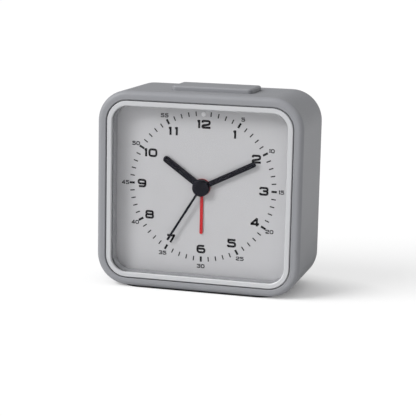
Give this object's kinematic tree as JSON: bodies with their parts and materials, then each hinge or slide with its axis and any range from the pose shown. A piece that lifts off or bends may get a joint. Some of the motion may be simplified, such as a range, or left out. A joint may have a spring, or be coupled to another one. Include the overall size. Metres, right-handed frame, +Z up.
{
  "type": "table alarm clock",
  "caption": "Small square quartz table alarm clock with a rounded grey case, silver bezel, clear window, analogue hands and a top snooze bar.",
  "frame": {"origin": "middle of the flat base, on the surface that the clock stands on", "axes": "+Z up, the dial faces -Y, +X to the right of someone who reads the dial"},
  "size_m": [0.09, 0.045, 0.0874],
  "materials": {
    "case_plastic": "fine spark texture, cool mid grey ABS",
    "bar_plastic": "fine spark texture, cool mid grey ABS",
    "silver_paint": "silver painted ABS, satin",
    "window": "clear acrylic, polished",
    "dial_print": "pale silver grey printed sheet",
    "light_clear": "milky clear acrylic",
    "black_hand": "black lacquered aluminium sheet",
    "red_hand": "red lacquered aluminium sheet",
    "wheel_plastic": "natural acetal",
    "arbor_brass": "turned brass",
    "spring_steel": "nickel plated spring steel",
    "rotor_steel": "stamped soft iron and sintered magnet",
    "frame_plastic": "black moulded plastic",
    "screw_steel": "zinc plated steel",
    "bobbin_plastic": "natural nylon",
    "copper_wire": "enamelled copper wire",
    "board": "green glass epoxy board",
    "chip_resin": "black epoxy drop",
    "crystal_can": "bright nickel can",
    "cell_wrap": "plain plastic wrapped steel cell",
    "knob_plastic": "black moulded plastic",
    "switch_plastic": "black moulded plastic",
    "piezo_brass": "rolled brass disc"
  },
  "bodies": {
    "case": {"case_shell": "case_plastic", "bezel": "silver_paint", "lens": "window", "dial_ring": "silver_paint", "dial": "dial_print", "light_lens": "light_clear", "dial_lamp": "light_clear", "movement_housing": "frame_plastic", "movement_mid_plate": "frame_plastic", "movement_back_plate": "frame_plastic", "movement_screws": "screw_steel", "stator": "rotor_steel", "coil_core": "rotor_steel", "coil_bobbin": "bobbin_plastic", "coil_winding": "copper_wire", "circuit_board": "board", "control_chip": "chip_resin", "quartz_crystal": "crystal_can", "alarm_contact_spring": "spring_steel", "rear_cover": "case_plastic", "rear_screws": "screw_steel", "cell": "cell_wrap", "positive_contact": "spring_steel", "negative_contact": "spring_steel", "contact_spring": "spring_steel", "alarm_switch_box": "switch_plastic", "buzzer_ring": "switch_plastic", "piezo_disc": "piezo_brass", "snooze_guide": "frame_plastic", "guide_screws": "screw_steel", "snooze_springs": "spring_steel", "snooze_switch": "switch_plastic"},
    "minute": {"minute_hand": "black_hand", "minute_arbor": "arbor_brass", "clutch_spring": "spring_steel"},
    "hour": {"hour_hand": "black_hand", "hour_wheel": "wheel_plastic"},
    "second": {"second_hand": "black_hand", "second_wheel": "wheel_plastic"},
    "alarm": {"alarm_hand": "red_hand", "alarm_wheel": "wheel_plastic"},
    "centre": {"centre_wheel": "wheel_plastic"},
    "third": {"third_wheel": "wheel_plastic"},
    "step": {"step_wheel": "wheel_plastic"},
    "rotor": {"rotor_pinion": "rotor_steel", "rotor_magnet": "rotor_steel"},
    "time_setter": {"setting_wheel": "wheel_plastic", "time_knob": "knob_plastic"},
    "alarm_setter": {"alarm_setting_shaft": "wheel_plastic", "alarm_knob": "knob_plastic"},
    "snooze": {"snooze_bar": "bar_plastic"},
    "alarm_switch": {"alarm_switch_slider": "knob_plastic"},
    "door": {"cell_door": "case_plastic"}
  },
  "joints": [
    {"name": "minute_turn", "type": "hinge", "parent": "case", "child": "minute", "pos_m": [0, 0, 0.0447], "axis": [0, 1, 0], "continuous": true},
    {"name": "hour_turn", "type": "hinge", "parent": "case", "child": "hour", "pos_m": [0, 0, 0.0447], "axis": [0, 1, 0], "continuous": true},
    {"name": "time_knob_turn", "type": "hinge", "parent": "case", "child": "time_setter", "pos_m": [-0.01148, 0, 0.0412], "axis": [0, 1, 0], "continuous": true},
    {"name": "second_turn", "type": "hinge", "parent": "case", "child": "second", "pos_m": [0, 0, 0.0447], "axis": [0, 1, 0], "continuous": true},
    {"name": "centre_wheel_turn", "type": "hinge", "parent": "case", "child": "centre", "pos_m": [0, 0, 0.0447], "axis": [0, 1, 0], "continuous": true},
    {"name": "third_wheel_turn", "type": "hinge", "parent": "case", "child": "third", "pos_m": [-0.00827, 0, 0.05164], "axis": [0, 1, 0], "continuous": true},
    {"name": "step_wheel_turn", "type": "hinge", "parent": "case", "child": "step", "pos_m": [0.01006, 0, 0.04939], "axis": [0, 1, 0], "continuous": true},
    {"name": "rotor_turn", "type": "hinge", "parent": "case", "child": "rotor", "pos_m": [0.01673, 0, 0.05324], "axis": [0, 1, 0], "continuous": true},
    {"name": "alarm_turn", "type": "hinge", "parent": "case", "child": "alarm", "pos_m": [0, 0, 0.0447], "axis": [0, 1, 0], "continuous": true},
    {"name": "alarm_knob_turn", "type": "hinge", "parent": "case", "child": "alarm_setter", "pos_m": [0.01459, 0, 0.0412], "axis": [0, 1, 0], "continuous": true},
    {"name": "snooze_press", "type": "slide", "parent": "case", "child": "snooze", "axis": [0, 0, -1], "range_m": [0, 0.0014], "stiffness_N_per_m": 600, "springref_m": -0.002, "deforming": ["snooze_springs"]},
    {"name": "alarm_switch_slide", "type": "slide", "parent": "case", "child": "alarm_switch", "axis": [1, 0, 0], "range_m": [0, 0.004]},
    {"name": "door_pull", "type": "slide", "parent": "case", "child": "door", "axis": [0, 1, 0], "range_m": [0, 0.025]}
  ],
  "couplings": [
    {"joint": "hour_turn", "follows": "minute_turn", "ratio": 0.083333},
    {"joint": "time_knob_turn", "follows": "minute_turn", "ratio": -0.33333},
    {"joint": "centre_wheel_turn", "follows": "second_turn", "ratio": 0.016667},
    {"joint": "third_wheel_turn", "follows": "second_turn", "ratio": -0.13333},
    {"joint": "step_wheel_turn", "follows": "second_turn", "ratio": -5},
    {"joint": "rotor_turn", "follows": "second_turn", "ratio": 30},
    {"joint": "alarm_knob_turn", "follows": "alarm_turn", "ratio": -4}
  ]
}
